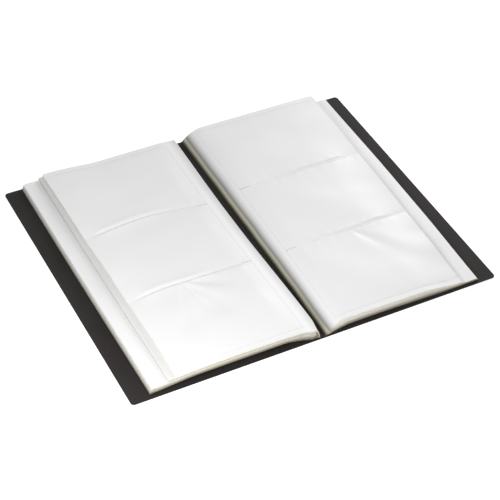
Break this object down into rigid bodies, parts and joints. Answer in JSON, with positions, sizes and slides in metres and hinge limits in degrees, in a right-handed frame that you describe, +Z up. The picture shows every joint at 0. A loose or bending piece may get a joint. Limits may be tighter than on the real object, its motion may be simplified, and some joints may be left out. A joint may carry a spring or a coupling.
{
  "type": "pocket album",
  "caption": "Open pocket album with a scored plastic cover, a flat spine and two packets of clear welded pocket leaves on each side, all hinged at the spine.",
  "frame": {"origin": "middle of the spine's underside, on the surface that the open album lies on", "axes": "+X across the open album towards the back cover, +Y along the spine away from the reader, +Z up"},
  "size_m": [0.43, 0.35, 0.0149],
  "materials": {
    "cover": "black polypropylene sheet, finely embossed",
    "film": "clear polypropylene film, slightly milky in layers",
    "weld": "fused film, whitened by the heat of the weld"
  },
  "bodies": {
    "spine": {"spine": "cover", "front_binding": "film", "back_binding": "film"},
    "front_cover": {"front_cover": "cover"},
    "front_leaf_01": {"front_leaf_01": "film"},
    "front_leaf_02": {"front_leaf_02": "film"},
    "front_leaf_03": {"front_leaf_03": "film"},
    "front_leaf_04": {"front_leaf_04": "film"},
    "front_leaf_05": {"front_leaf_05": "film"},
    "front_leaf_06": {"front_leaf_06": "film"},
    "front_leaf_07": {"front_leaf_07": "film"},
    "front_leaf_08": {"front_leaf_08": "film"},
    "front_leaf_09": {"front_leaf_09": "film"},
    "front_leaf_10": {"front_leaf_10": "film"},
    "front_leaf_11": {"front_leaf_11": "film"},
    "front_leaf_12": {"front_leaf_12": "film"},
    "front_leaf_13": {"front_leaf_13": "film"},
    "front_leaf_14": {"front_leaf_14": "film"},
    "front_leaf_15": {"front_leaf_15": "film"},
    "front_leaf_16": {"front_leaf_16": "film"},
    "front_leaf_17": {"front_leaf_17": "film"},
    "front_leaf_18": {"front_leaf_18": "film"},
    "front_leaf_19": {"front_leaf_19": "film"},
    "front_top_leaf": {"front_top_leaf_rear_film": "film", "front_top_leaf_front_film": "film", "front_top_leaf_cross_welds": "weld", "front_top_leaf_inner_weld": "weld"},
    "back_cover": {"back_cover": "cover"},
    "back_leaf_01": {"back_leaf_01": "film"},
    "back_leaf_02": {"back_leaf_02": "film"},
    "back_leaf_03": {"back_leaf_03": "film"},
    "back_leaf_04": {"back_leaf_04": "film"},
    "back_leaf_05": {"back_leaf_05": "film"},
    "back_leaf_06": {"back_leaf_06": "film"},
    "back_leaf_07": {"back_leaf_07": "film"},
    "back_leaf_08": {"back_leaf_08": "film"},
    "back_leaf_09": {"back_leaf_09": "film"},
    "back_leaf_10": {"back_leaf_10": "film"},
    "back_leaf_11": {"back_leaf_11": "film"},
    "back_leaf_12": {"back_leaf_12": "film"},
    "back_leaf_13": {"back_leaf_13": "film"},
    "back_leaf_14": {"back_leaf_14": "film"},
    "back_leaf_15": {"back_leaf_15": "film"},
    "back_leaf_16": {"back_leaf_16": "film"},
    "back_leaf_17": {"back_leaf_17": "film"},
    "back_leaf_18": {"back_leaf_18": "film"},
    "back_leaf_19": {"back_leaf_19": "film"},
    "back_top_leaf": {"back_top_leaf_rear_film": "film", "back_top_leaf_front_film": "film", "back_top_leaf_cross_welds": "weld", "back_top_leaf_inner_weld": "weld"}
  },
  "joints": [
    {"name": "front_cover_hinge", "type": "hinge", "parent": "spine", "child": "front_cover", "pos_m": [-0.022, 0, 0], "axis": [0, 1, 0], "range_deg": [0, 90]},
    {"name": "front_leaf_01_hinge", "type": "hinge", "parent": "spine", "child": "front_leaf_01", "pos_m": [-0.0196, 0, 0.0013], "axis": [0, 1, 0], "range_deg": [0, 90]},
    {"name": "front_leaf_02_hinge", "type": "hinge", "parent": "spine", "child": "front_leaf_02", "pos_m": [-0.01932, 0, 0.00196], "axis": [0, 1, 0], "range_deg": [0, 90]},
    {"name": "front_leaf_03_hinge", "type": "hinge", "parent": "spine", "child": "front_leaf_03", "pos_m": [-0.01904, 0, 0.00262], "axis": [0, 1, 0], "range_deg": [0, 90]},
    {"name": "front_leaf_04_hinge", "type": "hinge", "parent": "spine", "child": "front_leaf_04", "pos_m": [-0.01876, 0, 0.00328], "axis": [0, 1, 0], "range_deg": [0, 90]},
    {"name": "front_leaf_05_hinge", "type": "hinge", "parent": "spine", "child": "front_leaf_05", "pos_m": [-0.01848, 0, 0.00394], "axis": [0, 1, 0], "range_deg": [0, 90]},
    {"name": "front_leaf_06_hinge", "type": "hinge", "parent": "spine", "child": "front_leaf_06", "pos_m": [-0.0182, 0, 0.0046], "axis": [0, 1, 0], "range_deg": [0, 90]},
    {"name": "front_leaf_07_hinge", "type": "hinge", "parent": "spine", "child": "front_leaf_07", "pos_m": [-0.01792, 0, 0.00526], "axis": [0, 1, 0], "range_deg": [0, 90]},
    {"name": "front_leaf_08_hinge", "type": "hinge", "parent": "spine", "child": "front_leaf_08", "pos_m": [-0.01764, 0, 0.00592], "axis": [0, 1, 0], "range_deg": [0, 90]},
    {"name": "front_leaf_09_hinge", "type": "hinge", "parent": "spine", "child": "front_leaf_09", "pos_m": [-0.01736, 0, 0.00658], "axis": [0, 1, 0], "range_deg": [0, 90]},
    {"name": "front_leaf_10_hinge", "type": "hinge", "parent": "spine", "child": "front_leaf_10", "pos_m": [-0.01708, 0, 0.00724], "axis": [0, 1, 0], "range_deg": [0, 90]},
    {"name": "front_leaf_11_hinge", "type": "hinge", "parent": "spine", "child": "front_leaf_11", "pos_m": [-0.0168, 0, 0.0079], "axis": [0, 1, 0], "range_deg": [0, 90]},
    {"name": "front_leaf_12_hinge", "type": "hinge", "parent": "spine", "child": "front_leaf_12", "pos_m": [-0.01652, 0, 0.00856], "axis": [0, 1, 0], "range_deg": [0, 90]},
    {"name": "front_leaf_13_hinge", "type": "hinge", "parent": "spine", "child": "front_leaf_13", "pos_m": [-0.0068, 0, 0.00972], "axis": [0, 1, 0], "range_deg": [0, 90]},
    {"name": "front_leaf_14_hinge", "type": "hinge", "parent": "spine", "child": "front_leaf_14", "pos_m": [-0.00652, 0, 0.01038], "axis": [0, 1, 0], "range_deg": [0, 90]},
    {"name": "front_leaf_15_hinge", "type": "hinge", "parent": "spine", "child": "front_leaf_15", "pos_m": [-0.00624, 0, 0.01104], "axis": [0, 1, 0], "range_deg": [0, 90]},
    {"name": "front_leaf_16_hinge", "type": "hinge", "parent": "spine", "child": "front_leaf_16", "pos_m": [-0.00596, 0, 0.0117], "axis": [0, 1, 0], "range_deg": [0, 90]},
    {"name": "front_leaf_17_hinge", "type": "hinge", "parent": "spine", "child": "front_leaf_17", "pos_m": [-0.00568, 0, 0.01236], "axis": [0, 1, 0], "range_deg": [0, 90]},
    {"name": "front_leaf_18_hinge", "type": "hinge", "parent": "spine", "child": "front_leaf_18", "pos_m": [-0.0054, 0, 0.01302], "axis": [0, 1, 0], "range_deg": [0, 90]},
    {"name": "front_leaf_19_hinge", "type": "hinge", "parent": "spine", "child": "front_leaf_19", "pos_m": [-0.00512, 0, 0.01368], "axis": [0, 1, 0], "range_deg": [0, 90]},
    {"name": "front_top_leaf_hinge", "type": "hinge", "parent": "spine", "child": "front_top_leaf", "pos_m": [-0.00484, 0, 0.01434], "axis": [0, 1, 0], "range_deg": [0, 90]},
    {"name": "back_cover_hinge", "type": "hinge", "parent": "spine", "child": "back_cover", "pos_m": [0.022, 0, 0], "axis": [0, -1, 0], "range_deg": [0, 90]},
    {"name": "back_leaf_01_hinge", "type": "hinge", "parent": "spine", "child": "back_leaf_01", "pos_m": [0.0196, 0, 0.0013], "axis": [0, -1, 0], "range_deg": [0, 90]},
    {"name": "back_leaf_02_hinge", "type": "hinge", "parent": "spine", "child": "back_leaf_02", "pos_m": [0.01932, 0, 0.00196], "axis": [0, -1, 0], "range_deg": [0, 90]},
    {"name": "back_leaf_03_hinge", "type": "hinge", "parent": "spine", "child": "back_leaf_03", "pos_m": [0.01904, 0, 0.00262], "axis": [0, -1, 0], "range_deg": [0, 90]},
    {"name": "back_leaf_04_hinge", "type": "hinge", "parent": "spine", "child": "back_leaf_04", "pos_m": [0.01876, 0, 0.00328], "axis": [0, -1, 0], "range_deg": [0, 90]},
    {"name": "back_leaf_05_hinge", "type": "hinge", "parent": "spine", "child": "back_leaf_05", "pos_m": [0.01848, 0, 0.00394], "axis": [0, -1, 0], "range_deg": [0, 90]},
    {"name": "back_leaf_06_hinge", "type": "hinge", "parent": "spine", "child": "back_leaf_06", "pos_m": [0.0182, 0, 0.0046], "axis": [0, -1, 0], "range_deg": [0, 90]},
    {"name": "back_leaf_07_hinge", "type": "hinge", "parent": "spine", "child": "back_leaf_07", "pos_m": [0.01792, 0, 0.00526], "axis": [0, -1, 0], "range_deg": [0, 90]},
    {"name": "back_leaf_08_hinge", "type": "hinge", "parent": "spine", "child": "back_leaf_08", "pos_m": [0.01764, 0, 0.00592], "axis": [0, -1, 0], "range_deg": [0, 90]},
    {"name": "back_leaf_09_hinge", "type": "hinge", "parent": "spine", "child": "back_leaf_09", "pos_m": [0.01736, 0, 0.00658], "axis": [0, -1, 0], "range_deg": [0, 90]},
    {"name": "back_leaf_10_hinge", "type": "hinge", "parent": "spine", "child": "back_leaf_10", "pos_m": [0.01708, 0, 0.00724], "axis": [0, -1, 0], "range_deg": [0, 90]},
    {"name": "back_leaf_11_hinge", "type": "hinge", "parent": "spine", "child": "back_leaf_11", "pos_m": [0.0168, 0, 0.0079], "axis": [0, -1, 0], "range_deg": [0, 90]},
    {"name": "back_leaf_12_hinge", "type": "hinge", "parent": "spine", "child": "back_leaf_12", "pos_m": [0.01652, 0, 0.00856], "axis": [0, -1, 0], "range_deg": [0, 90]},
    {"name": "back_leaf_13_hinge", "type": "hinge", "parent": "spine", "child": "back_leaf_13", "pos_m": [0.0068, 0, 0.00972], "axis": [0, -1, 0], "range_deg": [0, 90]},
    {"name": "back_leaf_14_hinge", "type": "hinge", "parent": "spine", "child": "back_leaf_14", "pos_m": [0.00652, 0, 0.01038], "axis": [0, -1, 0], "range_deg": [0, 90]},
    {"name": "back_leaf_15_hinge", "type": "hinge", "parent": "spine", "child": "back_leaf_15", "pos_m": [0.00624, 0, 0.01104], "axis": [0, -1, 0], "range_deg": [0, 90]},
    {"name": "back_leaf_16_hinge", "type": "hinge", "parent": "spine", "child": "back_leaf_16", "pos_m": [0.00596, 0, 0.0117], "axis": [0, -1, 0], "range_deg": [0, 90]},
    {"name": "back_leaf_17_hinge", "type": "hinge", "parent": "spine", "child": "back_leaf_17", "pos_m": [0.00568, 0, 0.01236], "axis": [0, -1, 0], "range_deg": [0, 90]},
    {"name": "back_leaf_18_hinge", "type": "hinge", "parent": "spine", "child": "back_leaf_18", "pos_m": [0.0054, 0, 0.01302], "axis": [0, -1, 0], "range_deg": [0, 90]},
    {"name": "back_leaf_19_hinge", "type": "hinge", "parent": "spine", "child": "back_leaf_19", "pos_m": [0.00512, 0, 0.01368], "axis": [0, -1, 0], "range_deg": [0, 90]},
    {"name": "back_top_leaf_hinge", "type": "hinge", "parent": "spine", "child": "back_top_leaf", "pos_m": [0.00484, 0, 0.01434], "axis": [0, -1, 0], "range_deg": [0, 90]}
  ],
  "couplings": [
    {"joint": "front_leaf_01_hinge", "follows": "front_cover_hinge", "ratio": 1},
    {"joint": "front_leaf_02_hinge", "follows": "front_cover_hinge", "ratio": 1},
    {"joint": "front_leaf_03_hinge", "follows": "front_cover_hinge", "ratio": 1},
    {"joint": "front_leaf_04_hinge", "follows": "front_cover_hinge", "ratio": 1},
    {"joint": "front_leaf_05_hinge", "follows": "front_cover_hinge", "ratio": 1},
    {"joint": "front_leaf_06_hinge", "follows": "front_cover_hinge", "ratio": 1},
    {"joint": "front_leaf_07_hinge", "follows": "front_cover_hinge", "ratio": 1},
    {"joint": "front_leaf_08_hinge", "follows": "front_cover_hinge", "ratio": 1},
    {"joint": "front_leaf_09_hinge", "follows": "front_cover_hinge", "ratio": 1},
    {"joint": "front_leaf_10_hinge", "follows": "front_cover_hinge", "ratio": 1},
    {"joint": "front_leaf_11_hinge", "follows": "front_cover_hinge", "ratio": 1},
    {"joint": "front_leaf_12_hinge", "follows": "front_cover_hinge", "ratio": 1},
    {"joint": "front_leaf_13_hinge", "follows": "front_cover_hinge", "ratio": 1},
    {"joint": "front_leaf_14_hinge", "follows": "front_cover_hinge", "ratio": 1},
    {"joint": "front_leaf_15_hinge", "follows": "front_cover_hinge", "ratio": 1},
    {"joint": "front_leaf_16_hinge", "follows": "front_cover_hinge", "ratio": 1},
    {"joint": "front_leaf_17_hinge", "follows": "front_cover_hinge", "ratio": 1},
    {"joint": "front_leaf_18_hinge", "follows": "front_cover_hinge", "ratio": 1},
    {"joint": "front_leaf_19_hinge", "follows": "front_cover_hinge", "ratio": 1},
    {"joint": "front_top_leaf_hinge", "follows": "front_cover_hinge", "ratio": 1},
    {"joint": "back_leaf_01_hinge", "follows": "back_cover_hinge", "ratio": 1},
    {"joint": "back_leaf_02_hinge", "follows": "back_cover_hinge", "ratio": 1},
    {"joint": "back_leaf_03_hinge", "follows": "back_cover_hinge", "ratio": 1},
    {"joint": "back_leaf_04_hinge", "follows": "back_cover_hinge", "ratio": 1},
    {"joint": "back_leaf_05_hinge", "follows": "back_cover_hinge", "ratio": 1},
    {"joint": "back_leaf_06_hinge", "follows": "back_cover_hinge", "ratio": 1},
    {"joint": "back_leaf_07_hinge", "follows": "back_cover_hinge", "ratio": 1},
    {"joint": "back_leaf_08_hinge", "follows": "back_cover_hinge", "ratio": 1},
    {"joint": "back_leaf_09_hinge", "follows": "back_cover_hinge", "ratio": 1},
    {"joint": "back_leaf_10_hinge", "follows": "back_cover_hinge", "ratio": 1},
    {"joint": "back_leaf_11_hinge", "follows": "back_cover_hinge", "ratio": 1},
    {"joint": "back_leaf_12_hinge", "follows": "back_cover_hinge", "ratio": 1},
    {"joint": "back_leaf_13_hinge", "follows": "back_cover_hinge", "ratio": 1},
    {"joint": "back_leaf_14_hinge", "follows": "back_cover_hinge", "ratio": 1},
    {"joint": "back_leaf_15_hinge", "follows": "back_cover_hinge", "ratio": 1},
    {"joint": "back_leaf_16_hinge", "follows": "back_cover_hinge", "ratio": 1},
    {"joint": "back_leaf_17_hinge", "follows": "back_cover_hinge", "ratio": 1},
    {"joint": "back_leaf_18_hinge", "follows": "back_cover_hinge", "ratio": 1},
    {"joint": "back_leaf_19_hinge", "follows": "back_cover_hinge", "ratio": 1},
    {"joint": "back_top_leaf_hinge", "follows": "back_cover_hinge", "ratio": 1}
  ]
}
